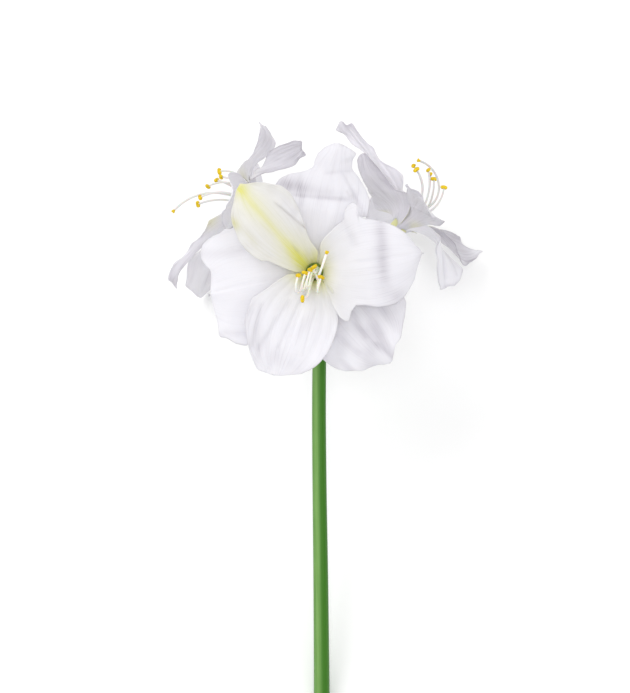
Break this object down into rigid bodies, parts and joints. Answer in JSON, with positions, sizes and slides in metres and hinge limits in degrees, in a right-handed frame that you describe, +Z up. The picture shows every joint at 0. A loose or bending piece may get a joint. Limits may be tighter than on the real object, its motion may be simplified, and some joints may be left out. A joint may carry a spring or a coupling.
{
  "type": "amaryllis",
  "caption": "Cut amaryllis stem lying on its back, with open white trumpet blooms facing up and to both sides on a thick bare green scape.",
  "frame": {"origin": "centre of the bounding box's underside, on the surface the stem lies on", "axes": "+Z up from the surface, +Y along the stem from its cut end towards the blooms, +X to the right as seen from above with the blooms at the top"},
  "size_m": [0.2978, 0.5461, 0.2352],
  "materials": {
    "stem_green": "satin, waxy",
    "tepal_white": "soft, finely veined",
    "stamen_yellow": "matt, powdery",
    "pistil_white": "soft satin"
  },
  "bodies": {
    "root": {"stem": "stem_green", "perianth_front": "tepal_white", "perianth_left": "tepal_white", "perianth_right": "tepal_white", "stamens_front": "stamen_yellow", "stamens_left": "stamen_yellow", "stamens_right": "stamen_yellow", "pistil_front": "pistil_white", "pistil_left": "pistil_white", "pistil_right": "pistil_white"}
  },
  "joints": []
}
